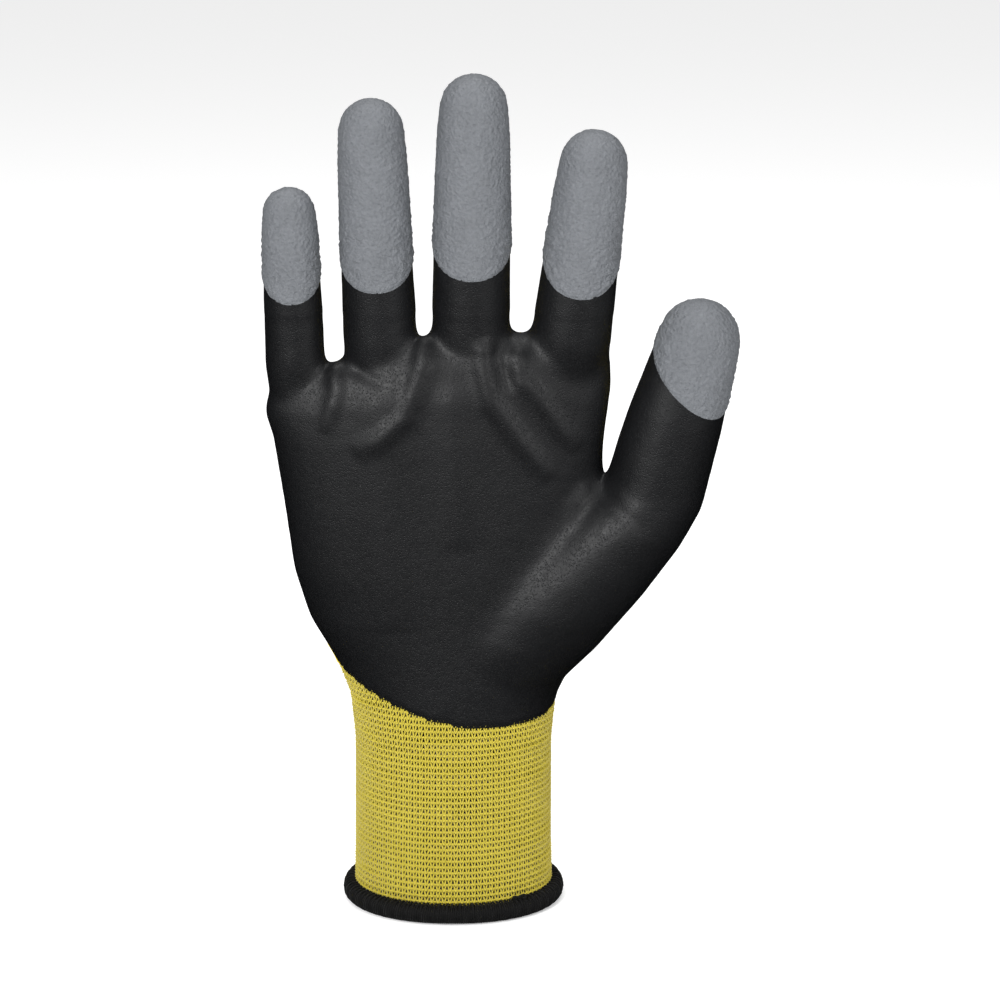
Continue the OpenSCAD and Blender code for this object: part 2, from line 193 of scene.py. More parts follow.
for v in hand.verts:
    x, y, z = v.co
    if y > 2 or not 70 < z < 172:
        continue
    lift = 0
    for points, height, width in folds:
        near = 1e9
        for i, (a, b) in enumerate(zip(points, points[1:])):
            ab = Vector(b) - Vector(a)
            t = min(1, max(0, (Vector((x, z)) - Vector(a)).dot(ab) / ab.length_squared))
            off = (Vector((x, z)) - Vector(a) - ab * t).length
            if off < near:
                near, along = off, (i + t) / (len(points) - 1)
        lift += height * math.exp(-(near / width) ** 2) * math.sin(math.pi * min(0.5 + 0.5 * along, 1.0)) ** 0.5
    v.co += v.normal * lift * ease((2 - y) / 8)
soften(hand, [v for v in hand.verts if 70 < v.co.z < 178], 2)
hand.normal_update()
surface = BVHTree.FromBMesh(hand)


# Where the pieces part: each finger is its own above its root, and parts again in the middle of each bone
bodies = {"little": ("base", "mid", "tip"), "ring": ("base", "mid", "tip"), "middle": ("base", "mid", "tip"),
          "index": ("base", "mid", "tip"), "thumb": ("base", "tip")}
between = {  # a plane on each side of a finger: a point on it, and its tilt
    "little": (None, ((-34.4, 0), 0)),
    "ring": (((-34.4, 0), 0), ((-7.3, 0), 0)),
    "middle": (((-7.3, 0), 0), ((18.9, 0), 0)),
    "index": (((18.9, 0), 0), ((42.5, 130), 0.24)),
    "thumb": (((42.5, 130), 0.24), None),
}
root_cut = 0.5       # how far above its root a finger's own pieces start


def beside(p, plane):
    """How far a point lies to the right of a plane between two fingers."""
    (x, z), tilt = plane
    return p.x - x - tilt * (p.z - z)


def part_of(p):
    """The finger and bone that a point of the hand belongs to, or the palm."""
    for name, digit in digits.items():
        left, right = between[name]
        s = (digit["back"] @ p).z
        if s > root_cut and (left is None or beside(p, left) >= 0) and (right is None or beside(p, right) < 0):
            return name, bodies[name][sum(s > split for split in digit["splits"])]
    return "palm", ""


def part_cuts(bm):
    """Cuts a layer along every plane where two pieces meet, without taking anything away."""
    for name, digit in digits.items():
        left, right = between[name]

        def near(p):
            s = (digit["back"] @ p).z
            return (s > root_cut - 4 and (left is None or beside(p, left) > -3)
                    and (right is None or beside(p, right) < 3))
        axis = (digit["place"].to_3x3() @ Vector((0, 0, 1)))
        planes = [(digit["place"] @ Vector((0, 0, s)), axis) for s in (root_cut,) + digit["splits"]]
        for plane in (left, right):
            if plane:
                (x, z), tilt = plane
                planes.append((Vector((x, 0, z)), Vector((1, 0, -tilt))))
        faces = [f for f in bm.faces if near(f.calc_center_median())]
        geom = faces + list(dict.fromkeys(e for f in faces for e in f.edges))
        geom += list(dict.fromkeys(v for f in faces for v in f.verts))
        for point, normal in planes:
            geom = bmesh.ops.bisect_plane(bm, geom=geom, plane_co=point, plane_no=normal, dist=0.02)["geom"]


def cut_where(bm, field):
    """Keeps the part of a layer where the field is below zero, and puts its edge on the zero line."""
    value = {v: field(v.co, v.normal) for v in bm.verts}
    edge_line = []
    for e in [e for e in bm.edges if (value[e.verts[0]] < 0) != (value[e.verts[1]] < 0)]:
        a, b = e.verts
        va, vb = value[a], value[b]
        new = bmesh.utils.edge_split(e, a, va / (va - vb))[1]
        value[new] = 0
        edge_line.append(new)
    bmesh.ops.connect_verts(bm, verts=edge_line)
    outside = [f for f in bm.faces if sum(value[v] for v in f.verts) > 0]
    bmesh.ops.delete(bm, geom=outside, context="FACES")
    return value


def piece(bm, name, material):
    """A finished piece: in metres, smooth, with crisp rims."""
    for f in bm.faces:
        f.smooth = True
    for e in bm.edges:
        if len(e.link_faces) == 2 and e.calc_face_angle(0) > 0.9:
            e.smooth = False
    bmesh.ops.scale(bm, vec=(mm, mm, mm), verts=bm.verts)
    mesh = bpy.data.meshes.new(name)
    bm.to_mesh(mesh)
    mesh.materials.append(material)
    made = bpy.data.objects.new(name, mesh)
    bpy.context.scene.collection.objects.link(made)
    return made


def join_to_body(made, where):
    """Bakes a piece's placement into its mesh, for the palm and the fingers alike; it is not hung on any body."""
    name, bone = where
    if name == "palm":
        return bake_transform(made)
    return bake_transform(made)


def layer_pieces(bm, wall, lift, material, piece_name, stands_for, whole=None):
    """Splits a layer into its pieces unless it is whole, gives each its wall and hides the CAD parts it stands for.
    """
    if not whole:
        part_cuts(bm)
        bm.normal_update()
    parts = {}
    for f in bm.faces:
        parts.setdefault(whole or part_of(f.calc_center_median()), []).append(f)
    for where, faces in parts.items():
        one = bmesh.new()
        twin = {}
        for f in faces:
            for v in f.verts:
                if v not in twin:
                    twin[v] = one.verts.new(v.co)
            one.faces.new([twin[v] for v in f.verts])
        one.normal_update()
        outer = {t: t.co + v.normal * lift(v.co, v.normal) for v, t in twin.items()}
        bmesh.ops.solidify(one, geom=one.faces[:], thickness=wall)
        for t, co in outer.items():
            t.co = co
        if len(one.faces) < 60:
            one.free()
            continue
        made = piece(one, piece_name(where), material)
        one.free()
        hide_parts(*stands_for(where).split())
        join_to_body(made, where)
    bm.free()


def linear(code):
    """A hex colour as the eye's sRGB, turned to the linear light that shaders use."""
    channels = [int(code[i:i + 2], 16) / 255 for i in (1, 3, 5)]
    return tuple(c / 12.92 if c <= 0.04045 else ((c + 0.055) / 1.055) ** 2.4 for c in channels) + (1,)


def add(tree, kind, inputs={}, **settings):
    """A shader node with its settings, its values and its links."""
    made = tree.nodes.new("ShaderNode" + kind)
    for key, value in settings.items():
        setattr(made, key, value)
    for key, value in inputs.items():
        if isinstance(value, bpy.types.NodeSocket):
            tree.links.new(value, made.inputs[key])
        else:
            made.inputs[key].default_value = value
    return made


def finish_named(name):
    material = bpy.data.materials.new(name)
    material.use_nodes = True
    material.node_tree.nodes.clear()
    return material, material.node_tree


# ---------------------------------------------------------------------------
# Lining
# The inner side of the knitted liner: a black elastic yarn plated behind the yellow one.
# It shows as black holes between the yellow stitches, and inside the cuff.
# ---------------------------------------------------------------------------
lining_finish, tree = finish_named("black_elastane_plating")
# Textured black yarn: dull, with a fine fuzzy grain about as coarse as its filaments' crimp (0.5 mm)
place = add(tree, "TexCoord").outputs["Object"]
fuzz = add(tree, "TexNoise", {"Vector": place, "Scale": 1 / (0.5 * mm), "Detail": 3.0})
tone = add(tree, "Mix", {0: fuzz.outputs[0], 6: linear("#060605"), 7: linear("#12110e")}, data_type="RGBA")
bump = add(tree, "Bump", {"Height": fuzz.outputs[0], "Strength": 0.5, "Distance": 0.15 * mm})
shader = add(tree, "BsdfPrincipled", {"Base Color": tone.outputs[2], "Roughness": 0.9, "Normal": bump.outputs[0],
                                      "Sheen Weight": 0.15, "Sheen Roughness": 0.5})
add(tree, "OutputMaterial", {"Surface": shader.outputs[0]})

lining = hand.copy()
bmesh.ops.delete(lining, geom=[f for f in lining.faces if f.calc_center_median().z < 2.2], context="FACES")
rough = bpy.data.meshes.new("lining_form")
lining.to_mesh(rough)
lining.free()
coarse = bpy.data.objects.new("lining_form", rough)
bpy.context.scene.collection.objects.link(coarse)
thin = coarse.modifiers.new("thin", "DECIMATE")
thin.ratio = 0.2     # it is only seen between stitches
lining = bmesh.new()
lining.from_mesh(bpy.data.meshes.new_from_object(coarse.evaluated_get(bpy.context.evaluated_depsgraph_get())))
bpy.data.objects.remove(coarse)
lining.normal_update()
lining_wall = 0.65   # mm


def lining_lift(p, n):
    """Just under the yarn, and deeper at the wrist, so that it stays behind the yarn when the wrist bends."""
    return -0.2 - 0.45 * ease((p.z - 28) / 8) * ease((78 - p.z) / 8)


layer_pieces(lining, lining_wall, lining_lift, lining_finish,
             lambda where: "_".join(w for w in where if w) + "_lining",
             lambda where: "_".join(w for w in where if w) + "_knit")


# ---------------------------------------------------------------------------
# Palm coat
# Black foam nitrile: the palm side of the liner is dipped in it while the hand lies flat,
# so it ends in a waterline along the sides of the fingers and, at the wrist, in steps of one knitted row.
# ---------------------------------------------------------------------------
row = 1.8            # mm, height of one knitted row
coat_thick = 0.65    # mm


def coat_field(p, n=None):
    """Below zero where the coat lies: about how far (mm) inside its edge, with the sign turned."""
    waterline = 3 - 4 * ease((p.x - 44) / 12) * ease((p.z - 80) / 30)
    waterline += 0.35 * noise.noise(Vector((p.x, 0, p.z)) * 0.22)
    waterline -= 6.5 * ease(-p.x / 12) * ease((87 - p.z) / 12)    # it turns the corner below the little finger
    low = 59.0 + 0.0068 * (p.x - 14) ** 2 + 0.5 * noise.noise(Vector((p.x * 0.3, 4, 0)))
    return max(p.y - waterline, 0.45 * low + 0.55 * round(low / row) * row - p.z)


def dip_field(name, p):
    """The same for a finger's dip, whose waterline is tilted because the finger was dipped at an angle."""
    edge, tilt, turn = digits[name]["dip"]
    at = digits[name]["back"] @ p
    turn = math.radians(turn)
    height = -math.sin(turn) * at.x + math.cos(turn) * at.y
    return (edge + math.tan(math.radians(tilt)) * height - at.z) * math.cos(math.radians(tilt))


def coat_lift(p, n):
    lift = 0.3 + (coat_thick - 0.3) * ease(-coat_field(p) / 1.6)
    where = part_of(p)[0]
    if where != "palm":
        lift -= 0.35 * ease(-dip_field(where, p) / 2 - 0.6)   # pressed thin under the fingertip dip
    return lift + 0.05 * noise.noise(p * 0.35)


coat_finish, tree = finish_named("black_foam_nitrile")
# Foamed nitrile rubber, dipped and cured: satin black, with burst bubbles 0.2 to 0.5 mm across that soften its shine
place = add(tree, "TexCoord").outputs["Object"]
pores = add(tree, "TexVoronoi", {"Vector": place, "Scale": 1 / (0.55 * mm), "Randomness": 1.0}, feature="F1")
pits = add(tree, "MapRange", {0: pores.outputs["Distance"], 1: 0.0, 2: 0.42, 3: 0.0, 4: 1.0})
grain = add(tree, "TexNoise", {"Vector": place, "Scale": 1 / (0.9 * mm), "Detail": 4.0, "Roughness": 0.65})
cloud = add(tree, "TexNoise", {"Vector": place, "Scale": 1 / (22 * mm), "Detail": 3.0})
tone = add(tree, "Mix", {0: cloud.outputs[0], 6: linear("#090a0c"), 7: linear("#0f1013")}, data_type="RGBA")
height = add(tree, "Math", {0: pits.outputs[0], 1: grain.outputs[0]}, operation="ADD")
shine = add(tree, "MapRange", {0: grain.outputs[0], 1: 0.3, 2: 0.7, 3: 0.44, 4: 0.60})
bump = add(tree, "Bump", {"Height": height.outputs[0], "Strength": 0.55, "Distance": 0.14 * mm})
shader = add(tree, "BsdfPrincipled", {"Base Color": tone.outputs[2], "Roughness": shine.outputs[0],
                                      "Normal": bump.outputs[0], "IOR": 1.5, "Specular IOR Level": 0.5})
add(tree, "OutputMaterial", {"Surface": shader.outputs[0]})

coat = hand.copy()
undipped = [f for f in coat.faces if f.calc_center_median().z < 56 or f.calc_center_median().y > 6]
bmesh.ops.delete(coat, geom=undipped, context="FACES")
cut_where(coat, coat_field)
coat.normal_update()
layer_pieces(coat, coat_thick - 0.05, coat_lift, coat_finish,
             lambda where: "_".join(w for w in where if w) + "_coat_shell",
             lambda where: "_".join(w for w in where if w) + "_coat")

# ---------------------------------------------------------------------------
# Fingertip dips
# Grey sandy nitrile: each coated fingertip is dipped once more, at a slant, and salt or sand
# washed out of the wet rubber leaves it grainy. It wrinkles a little above its waterline.
# ---------------------------------------------------------------------------
dip_finish, tree = finish_named("grey_sandy_nitrile")
# Sandy-finish nitrile rubber: matt grey with grains of 0.8 to 1.1 mm, and painted shade that darkens the hollows
# between them
place = add(tree, "TexCoord").outputs["Object"]
grit = add(tree, "TexNoise", {"Vector": place, "Scale": 1 / (1.1 * mm), "Detail": 5.0, "Roughness": 0.7})
salt = add(tree, "TexVoronoi", {"Vector": place, "Scale": 1 / (0.8 * mm)}, feature="SMOOTH_F1")
cloud = add(tree, "TexNoise", {"Vector": place, "Scale": 1 / (7 * mm), "Detail": 3.0})
tone = add(tree, "Mix", {0: cloud.outputs[0], 6: linear("#6c6f73"), 7: linear("#82858a")}, data_type="RGBA")
# Where the grit is low, in the hollows between grains, the grey is mixed towards a darker grey (#55585c): partly the
# grain's own tone and partly painted shade in the hollows
mottled = add(tree, "Mix", {0: grit.outputs[0], 6: linear("#55585c"), 7: tone.outputs[2]}, data_type="RGBA")
height = add(tree, "Math", {0: grit.outputs[0], 1: salt.outputs["Distance"]}, operation="ADD")
bump = add(tree, "Bump", {"Height": height.outputs[0], "Strength": 1.0, "Distance": 0.45 * mm})
shader = add(tree, "BsdfPrincipled", {"Base Color": mottled.outputs[2], "Roughness": 0.5,
                                      "Normal": bump.outputs[0], "IOR": 1.5})
add(tree, "OutputMaterial", {"Surface": shader.outputs[0]})

dip_wall = 0.55      # mm
for name in digits:
    def dip_lift(p, n):
        """Full thickness with a rounded lip, sandy grains, and soft wrinkles just above the lip."""
        inside = -dip_field(name, p)
        lip = 0.72 + 0.4 * ease(inside / 0.9)
        wrinkle = 0.34 * noise.noise(Vector((p.x * 0.45, p.y * 0.45, p.z * 0.9)))
        wrinkle = wrinkle * ease(inside / 2) * (1 - 0.8 * ease((inside - 6) / 9))
        return lip + wrinkle + 0.2 * noise.noise(p * 0.95) + 0.14 * noise.noise(p * 2.1)

    dip = hand.copy()
    bmesh.ops.delete(dip, geom=[f for f in dip.faces if part_of(f.calc_center_median())[0] != name
                                or dip_field(name, f.calc_center_median()) > 2], context="FACES")
    bmesh.ops.subdivide_edges(dip, edges=dip.edges, cuts=1, use_grid_fill=True)
    soften(dip, [v for v in dip.verts if not v.is_boundary], 2)
    dip.normal_update()
    cut_where(dip, lambda p, n: dip_field(name, p))
    dip.normal_update()
    # the thumb's dip is one piece over both of its bones, and stands for both of the CAD's
    layer_pieces(dip, dip_wall, dip_lift, dip_finish,
                 lambda where: "_".join(where) + "_dip",
                 lambda where: "thumb_tip_cap thumb_base_cap" if name == "thumb" else "_".join(where) + "_cap",
                 ("thumb", "tip") if name == "thumb" else None)


# ---------------------------------------------------------------------------
# Knitted yarn
# A seamless 13-gauge liner of yellow cut-resistant yarn, worn purl side out: every row is one
# yarn bent into loops that hang through the row below, so arcs stand out in bands and legs lie behind.
# ---------------------------------------------------------------------------
yarn_r = 0.33        # mm
loop_half = 1.1      # mm, half the height of a loop, so that rows overlap into a band
neck = 0.01          # how far a loop's legs close in, as a part of its width
arch = 0.34          # mm, how far arcs stand out, and legs lie in
pressed_in = 0.42    # mm, how far rubber presses a stitch in
per_loop = 8         # points along one loop

yarn_finish, tree = finish_named("yellow_cut_resistant_yarn")
# Plied polyethylene and glass yarn: bright yellow with a soft sheen, and filaments drawn as coarse as 0.35 mm to show
place = add(tree, "TexCoord").outputs["Object"]
stretch = add(tree, "Mapping", {"Vector": place, "Scale": (1, 1, 3)})
strands = add(tree, "TexNoise", {"Vector": stretch.outputs[0], "Scale": 1 / (0.35 * mm), "Detail": 4.0,
                                 "Roughness": 0.7})
patches = add(tree, "TexNoise", {"Vector": place, "Scale": 1 / (9 * mm), "Detail": 2.0})
tone = add(tree, "Mix", {0: strands.outputs[0], 6: linear("#a3931a"), 7: linear("#d9ca44")}, data_type="RGBA")
mottled = add(tree, "Mix", {0: patches.outputs[0], 6: linear("#b9a827"), 7: tone.outputs[2]}, data_type="RGBA")
bump = add(tree, "Bump", {"Height": strands.outputs[0], "Strength": 0.6, "Distance": 0.08 * mm})
shader = add(tree, "BsdfPrincipled", {"Base Color": mottled.outputs[2], "Roughness": 0.6, "Normal": bump.outputs[0],
                                      "Sheen Weight": 0.25, "Sheen Roughness": 0.4})
add(tree, "OutputMaterial", {"Surface": shader.outputs[0]})


def knit_row(place, wales, keep, left=0, right=0):
    """One row of loops round the hand, as runs of points, and whether it closes. Sight lines leave a flat
    core from left to right, and keep(p) says how far (mm) a point is pressed in, or None where it is hidden."""
    turn, middle = place.to_3x3(), place.translation
    flat, bend = right - left, math.pi * 12            # both ends of the core are rounded, 12 mm in radius
    whole = 2 * (flat + bend)

    def sight(t):
        """The sight line at a part t of the way round, from the little-finger side over the back."""
        u = (t * whole + bend / 2) % whole
        if u < bend:                                   # round the left end
            x, a = left, math.radians(270) - math.pi * u / bend
        elif u < bend + flat:                          # over the back
            x, a = left + u - bend, math.radians(90)
        elif u < 2 * bend + flat:                      # round the right end
            x, a = right, math.radians(90) - math.pi * (u - bend - flat) / bend
        else:                                          # over the palm
            x, a = right - (u - 2 * bend - flat), math.radians(270)
        return Vector((x, 0, 0)), Vector((math.cos(a), math.sin(a), 0))
    probes = 150
    seen = []
    for i in range(probes + 1):
        start, way = sight(i / probes)
        hit = surface.ray_cast(middle + turn @ start, turn @ way)[0]
        seen.append(hit if hit is not None else (seen[-1] if seen else middle))
    lengths = np.concatenate([[0], np.cumsum([(b - a).length for a, b in zip(seen, seen[1:])])])
    lengths /= lengths[-1]
    count = wales * per_loop
    parts = np.interp([(k / per_loop + neck * math.sin(4 * math.pi * k / per_loop)) / wales for k in range(count)],
                      lengths, [i / probes for i in range(probes + 1)])
    runs, run = [], []
    for k, t in enumerate(parts):
        theta = 2 * math.pi * k / per_loop
        start, way = sight(t)
        start.z = loop_half * math.copysign(abs(math.cos(theta)) ** 0.7, math.cos(theta))   # with flat arcs
        hit, normal = surface.ray_cast(middle + turn @ start, turn @ way)[:2]
        sink = keep(hit) if hit is not None else None
        if sink is None:
            if len(run) > per_loop:
                runs.append(run)
            run = []
            continue
        run.append(hit + normal * (arch * math.cos(2 * theta) - sink + 0.12 * noise.noise(hit * 0.8)))
    if len(run) > per_loop:
        runs.append(run)
    return runs, len(runs) == 1 and len(runs[0]) == count


def yarn_piece(name, rows, material, radius):
    """Rows of points as one yarn mesh, in metres."""
    curve = bpy.data.curves.new(name, "CURVE")
    curve.dimensions, curve.bevel_depth, curve.bevel_resolution, curve.use_fill_caps = "3D", radius * mm, 0, True
    for runs, closed in rows:
        for run in runs:
            spline = curve.splines.new("POLY")
            spline.points.add(len(run) - 1)
            spline.points.foreach_set("co", np.column_stack([np.array(run) * mm, np.ones(len(run))]).ravel())
            spline.use_cyclic_u, spline.use_smooth = closed, True
    drawn = bpy.data.objects.new(name, curve)
    bpy.context.scene.collection.objects.link(drawn)
    mesh = bpy.data.meshes.new_from_object(drawn.evaluated_get(bpy.context.evaluated_depsgraph_get()))
    bpy.data.objects.remove(drawn)
    mesh.materials.clear()
    mesh.materials.append(material)
    made = bpy.data.objects.new(name, mesh)
    mesh.name = name
    bpy.context.scene.collection.objects.link(made)
    return made


def under_coat(p):
    """How far a stitch is pressed in at a point, or None where nobody can see it."""
    depth = -coat_field(p)
    return None if depth > 3.4 else pressed_in * ease(depth / 1.3)


def palm_knit_keep(p):
    return under_coat(p) if part_of(p - Vector((0, 0, 1.1)))[0] == "palm" else None


# How far the flat core of the hand reaches to each side at a height. Above the thumb's root a row goes round the
# palm alone, which leaves the line that a machine makes where it joins the thumb on.
cores = [(0, -7, 7), (50, -7, 7), (64, -9, 9), (76, -15, 18), (88, -22, 32), (102, -28, 44), (112, -31, 52),
         (122, -33, 57), (130, -34, 58), (131, -34, 29), (142, -36, 29), (156, -40, 32), (172, -42, 32)]
heights, lefts, rights = zip(*cores)
wales = 94           # loops in a row
cuff_rows, wrist_rows, back_rows = [], [], []
z = 3.4
while z < 172:
    left, right = np.interp(z, heights, lefts), np.interp(z, heights, rights)
    made = knit_row(Matrix.Translation((0, -1, z)), wales, palm_knit_keep, left, right)
    (cuff_rows if z < 36 else wrist_rows if z < 71 else back_rows).append(made)
    z += row
for name, rows, node in (("cuff_yarn", cuff_rows, "cuff_knit"), ("wrist_yarn", wrist_rows, "palm_knit"),
                         ("palm_back_yarn", back_rows, "palm_knit")):
    made = yarn_piece(name, rows, yarn_finish, yarn_r)
    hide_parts(node)
    if name == "cuff_yarn":
        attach(made, "cuff")
    else:
        join_to_body(made, ("palm", ""))

for name, digit in digits.items():
    round_wales = {"little": 24, "ring": 30, "middle": 31, "index": 31, "thumb": 38}[name]
    rows = {}
    s = root_cut + 0.7
    while s < digit["length"] - 8:
        bone = bodies[name][sum(s > split for split in digit["splits"])]

        def digit_keep(p):
            if part_of(p + digit["place"].to_3x3() @ Vector((0, 0, 1.4)))[0] != name:
                return None
            dipped = -dip_field(name, p)
            if dipped > 3:
                return None
            sink = under_coat(p)
            return None if sink is None else max(sink, pressed_in * ease(dipped / 1.3))
        made = knit_row(digit["place"] @ Matrix.Translation((0, 0, s)), round_wales, digit_keep)
        if made[0]:
            rows.setdefault(bone, []).append(made)
        s += row
    for bone, made_rows in rows.items():
        if sum(len(run) for runs, closed in made_rows for run in runs) < 60:
            continue
        made = yarn_piece(f"{name}_{bone}_yarn", made_rows, yarn_finish, yarn_r)
        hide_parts(f"{name}_{bone}_knit")
        join_to_body(made, (name, bone))

# ---------------------------------------------------------------------------
# Cuff elastic
# Ten rows of rubber thread covered in pale nylon, laid in behind the cuff's stitches while it
# is knitted. They lie flat inside the cuff and draw it in.
# ---------------------------------------------------------------------------
elastic_finish, tree = finish_named("covered_rubber_thread")
# Rubber core wound with ivory nylon: dull, with windings about 0.5 mm apart
place = add(tree, "TexCoord").outputs["Object"]
winding = add(tree, "TexNoise", {"Vector": place, "Scale": 1 / (0.5 * mm), "Detail": 2.0})
tone = add(tree, "Mix", {0: winding.outputs[0], 6: linear("#c9c2a6"), 7: linear("#eee8d2")}, data_type="RGBA")
bump = add(tree, "Bump", {"Height": winding.outputs[0], "Strength": 0.5, "Distance": 0.1 * mm})
shader = add(tree, "BsdfPrincipled", {"Base Color": tone.outputs[2], "Roughness": 0.7, "Normal": bump.outputs[0]})
add(tree, "OutputMaterial", {"Surface": shader.outputs[0]})

low, high = (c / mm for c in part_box("cuff_elastic"))
elastic_rows, ring_points = 10, 180
rows = []
for i in range(elastic_rows):
    z = low.z + 0.4 + (high.z - low.z - 0.8) * i / (elastic_rows - 1)
    ring = []
    for k in range(ring_points):
        a = 2 * math.pi * k / ring_points
        start = Vector((0, 0, z + 0.12 * math.sin(a * 45)))
        hit, normal = surface.ray_cast(start, Vector((math.cos(a), math.sin(a), 0)))[:2]
        ring.append(hit - normal * (1.12 + 0.05 * math.sin(a * 30)))
    rows.append(([ring], True))
made = yarn_piece("cuff_elastic_rows", rows, elastic_finish, 0.3)
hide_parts("cuff_elastic")
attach(made, "cuff")

# ---------------------------------------------------------------------------
# Hem
# The cuff's raw edge is overlocked with textured black polyester: the thread wraps over the
# edge about 250 times, needle stitches bite into the last yellow row, and the end is knotted off.
# ---------------------------------------------------------------------------
thread_finish, tree = finish_named("black_overlock_polyester")
# Textured (fluffy) polyester overlock thread: black, dull, with a fine filament grain of about 0.3 mm
place = add(tree, "TexCoord").outputs["Object"]
fluff = add(tree, "TexNoise", {"Vector": place, "Scale": 1 / (0.3 * mm), "Detail": 4.0, "Roughness": 0.7})
tone = add(tree, "Mix", {0: fluff.outputs[0], 6: linear("#060606"), 7: linear("#101010")}, data_type="RGBA")
bump = add(tree, "Bump", {"Height": fluff.outputs[0], "Strength": 0.6, "Distance": 0.12 * mm})
shader = add(tree, "BsdfPrincipled", {"Base Color": tone.outputs[2], "Roughness": 0.75, "Normal": bump.outputs[0],
                                      "Sheen Weight": 0.05, "Sheen Roughness": 0.45, "Specular IOR Level": 0.25})
add(tree, "OutputMaterial", {"Surface": shader.outputs[0]})

hem_low, hem_high = (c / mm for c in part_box("cuff_hem"))
hem_tall = hem_high.z - hem_low.z
hem_out, hem_in = 3.7, 1.3     # mm, how far it stands out from the cuff and reaches in


def edge_at(a, z=4):
    """The cuff's outer face at an angle round it, and the way out there."""
    hit = surface.ray_cast(Vector((0, 0, z)), Vector((math.cos(a), math.sin(a), 0)))[0]
    out = Vector((math.cos(a) / 29, math.sin(a) / 23, 0)).normalized()
    return Vector((hit.x, hit.y, 0)), out


def hem_point(a, around, tall, swell=0):
    """A point on the hem's rounded section: around goes from its outermost line over the top."""
    base, out = edge_at(a)
    across = math.copysign(abs(math.cos(around)) ** 0.8, math.cos(around))
    level = math.copysign(abs(math.sin(around)) ** 0.8, math.sin(around))
    reach = (hem_out - hem_in) / 2 + across * ((hem_out + hem_in) / 2 + swell)
    return base + out * reach + Vector((0, 0, hem_low.z + 0.35 + (hem_tall - 0.7) / 2 * (1 + level) * tall))


core = bmesh.new()
rings = []
for i in range(ring_points):
    a = 2 * math.pi * i / ring_points
    verts = bmesh.ops.create_circle(core, segments=14, radius=1)["verts"]
    for v in verts:
        v.co = hem_point(a, math.atan2(v.co.y, v.co.x), 1, 0.02)
    rings.append(list(dict.fromkeys(e for v in verts for e in v.link_edges)))
for one, other in zip(rings, rings[1:] + rings[:1]):
    bmesh.ops.bridge_loops(core, edges=one + other)
bmesh.ops.recalc_face_normals(core, faces=core.faces)
made = piece(core, "hem_core", thread_finish)
core.free()
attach(made, "cuff")

wraps, per_wrap = 250, 14
points = []
for k in range(wraps * per_wrap):
    turn = k / per_wrap
    a = 2 * math.pi * turn / wraps
    around = 2 * math.pi * (k % per_wrap) / per_wrap
    reach_up = 1 + 0.13 * (math.floor(turn) % 2) * max(0, math.sin(around)) ** 2
    points.append(hem_point(a, around, reach_up, 0.05 * math.sin(turn * 1.7)))
made = yarn_piece("hem_overlock", [([points], True)], thread_finish, 0.3)
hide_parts("cuff_hem")
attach(made, "cuff")

# The knotted end: the thread lies in two short turns on the last yellow row, and both ends are cut close
low, high = (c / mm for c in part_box("hem_thread_tail"))
tail = []
for k in range(60):
    t = k / 59
    x = low.x + (high.x - low.x) * (0.5 + 0.5 * math.sin(2 * math.pi * 1.5 * t + 0.4))
    at, out = edge_at(math.atan2(low.y, x), low.z)
    height = low.z + 0.45 + 0.55 * math.sin(2 * math.pi * 2.5 * t) + 0.5 * t
    tail.append(Vector((x, at.y, 0)) + out * (0.75 + 0.35 * math.cos(2 * math.pi * 2 * t)) + Vector((0, 0, height)))
made = yarn_piece("hem_thread_knot", [([tail], False)], thread_finish, 0.36)
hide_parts("hem_thread_tail")
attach(made, "cuff")

# ---------------------------------------------------------------------------
# Label
# A blank heat-pressed patch of smooth yellow film on the back of the wrist. It wraps round the
# little-finger side, where its rounded edge shows just below the coat.
# ---------------------------------------------------------------------------
label_finish, tree = finish_named("yellow_transfer_film")
# Polyurethane transfer film pressed over the stitches: smooth and slightly glossy, with the rows faintly showing
place = add(tree, "TexCoord").outputs["Object"]
rows_through = add(tree, "TexWave", {"Vector": place, "Scale": 1 / (row * mm) / 20, "Distortion": 1.0},
                   bands_direction="Z")
cloud = add(tree, "TexNoise", {"Vector": place, "Scale": 1 / (3 * mm), "Detail": 2.0})
tone = add(tree, "Mix", {0: cloud.outputs[0], 6: linear("#e3c21f"), 7: linear("#f2dc45")}, data_type="RGBA")
bump = add(tree, "Bump", {"Height": rows_through.outputs["Fac"], "Strength": 0.25, "Distance": 0.1 * mm})
shader = add(tree, "BsdfPrincipled", {"Base Color": tone.outputs[2], "Roughness": 0.4, "Normal": bump.outputs[0]})
add(tree, "OutputMaterial", {"Surface": shader.outputs[0]})

low, high = (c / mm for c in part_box("back_label"))
corner = 1.5         # mm, the radius of its corners


def label_field(p, n=None):
    """Below zero inside a strip with rounded corners."""
    centre = Vector(((low.x - 4 + high.x) / 2, (low.z + high.z) / 2))
    along = (high.x - (low.x - 4)) / 2
    dx = abs(p.x - centre.x) - along + corner
    dz = abs(p.z - centre.y) - (high.z - low.z) / 2 + corner
    return max(math.hypot(max(dx, 0), max(dz, 0)) - corner, -3.2 - p.y)


label = hand.copy()
elsewhere = [f for f in label.faces if label_field(f.calc_center_median()) > 2 or f.calc_center_median().y < -5]
bmesh.ops.delete(label, geom=elsewhere, context="FACES")
bmesh.ops.subdivide_edges(label, edges=label.edges, cuts=1, use_grid_fill=True)
soften(label, [v for v in label.verts if not v.is_boundary], 1)
label.normal_update()
cut_where(label, label_field)
label.normal_update()
outer = {v: v.co + v.normal * (0.5 + 0.35 * ease(-label_field(v.co) / 0.8)) for v in label.verts}
bmesh.ops.solidify(label, geom=label.faces[:], thickness=0.3)
for v, co in outer.items():
    v.co = co
made = piece(label, "back_label_patch", label_finish)
label.free()
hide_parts("back_label")
join_to_body(made, ("palm", ""))

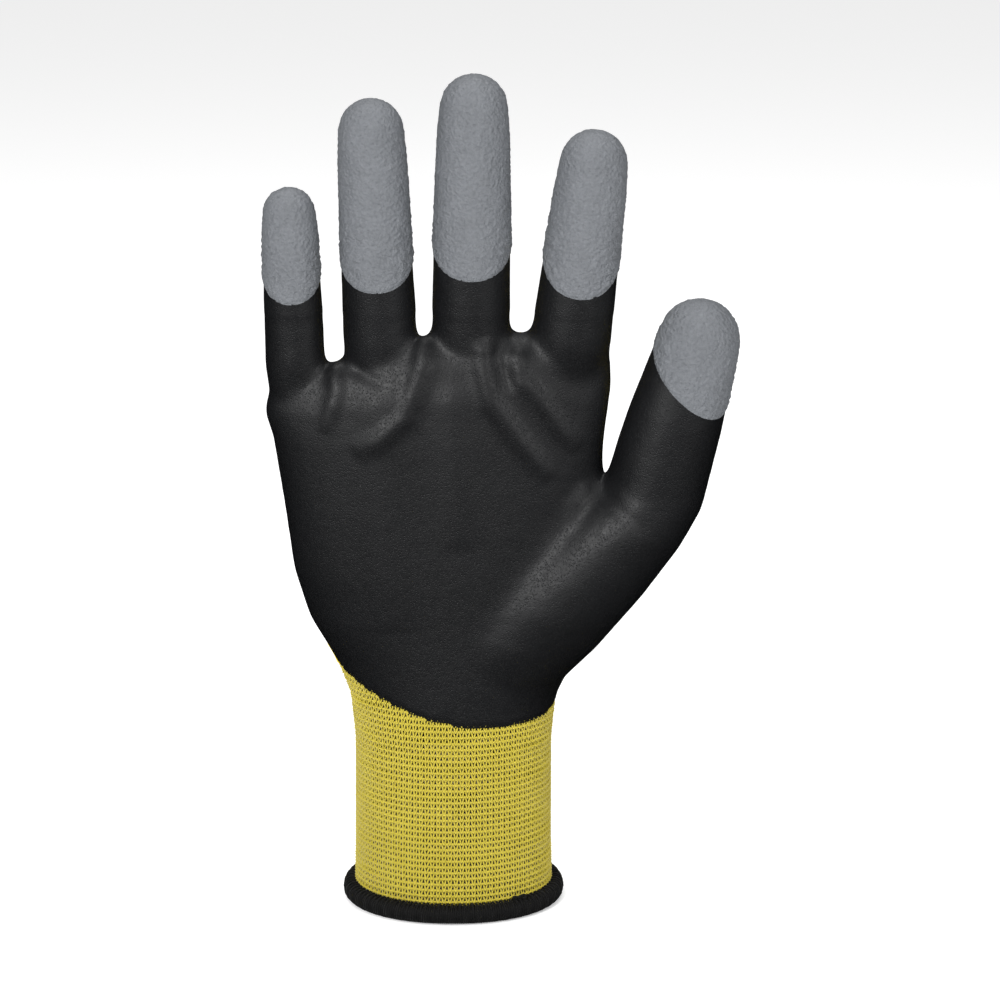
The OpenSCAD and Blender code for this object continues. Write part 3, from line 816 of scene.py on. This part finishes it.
# ---------------------------------------------------------------------------
# Studio
# The glove stands on its hem on a pale floor, in the even light of large soft boxes.
# ---------------------------------------------------------------------------
for spare in [o for o in bpy.data.objects if o.name in ("Cube", "Light", "Camera")]:
    bpy.data.objects.remove(spare)
floor_finish, tree = finish_named("pale_studio_floor")
# Matt white board, lit from beneath a little so that it stays pale far from the soft boxes
shader = add(tree, "BsdfPrincipled", {"Base Color": linear("#fbfbfb"), "Roughness": 0.9, "Specular IOR Level": 0.0,
                                      "Emission Color": linear("#ffffff"), "Emission Strength": 0.28})
add(tree, "OutputMaterial", {"Surface": shader.outputs[0]})
sweep = bmesh.new()
bmesh.ops.create_grid(sweep, x_segments=1, y_segments=1, size=4)
mesh = bpy.data.meshes.new("studio_floor")
sweep.to_mesh(mesh)
sweep.free()
mesh.materials.append(floor_finish)
floor = bpy.data.objects.new("studio_floor", mesh)
bpy.context.scene.collection.objects.link(floor)
floor.visible_glossy = False    # the coat mirrors the soft boxes alone, as between black flags

world = bpy.data.worlds.new("studio")
bpy.context.scene.world = world
world.use_nodes = True
world.node_tree.nodes["Background"].inputs["Color"].default_value = linear("#ffffff")
world.node_tree.nodes["Background"].inputs["Strength"].default_value = 0.55
world.cycles_visibility.glossy = False


def soft_box(name, place, target, size, power):
    light = bpy.data.lights.new(name, "AREA")
    light.shape, light.size, light.size_y, light.energy = "RECTANGLE", size[0], size[1], power
    made = bpy.data.objects.new(name, light)
    made.location = place
    made.rotation_euler = (Vector(place) - Vector(target)).to_track_quat("Z", "Y").to_euler()
    bpy.context.scene.collection.objects.link(made)


soft_box("key_box", (-0.5, -1.0, 0.85), (0, 0, 0.13), (0.4, 0.7), 13)
soft_box("fill_box", (0.8, -0.85, 0.6), (0, 0, 0.13), (0.35, 0.7), 5)
soft_box("top_box", (0, 0.3, 1.0), (0, 0, 0.13), (0.8, 0.5), 5)

bpy.context.scene.view_settings.view_transform = "Standard"
aim = Vector((13.9, 0, 121.9)) * mm
distance, rise = 1.0, math.radians(15.5)
lens = bpy.data.cameras.new("studio_camera")
lens.lens, lens.sensor_width, lens.clip_start, lens.clip_end = 36 * distance / 0.29, 36, 0.05, 20
camera = bpy.data.objects.new("studio_camera", lens)
camera.location = aim + distance * Vector((0, -math.cos(rise), math.sin(rise)))
camera.rotation_euler = (camera.location - aim).to_track_quat("Z", "Y").to_euler()
bpy.context.scene.collection.objects.link(camera)
bpy.context.scene.camera = camera

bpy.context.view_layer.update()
hand.free()
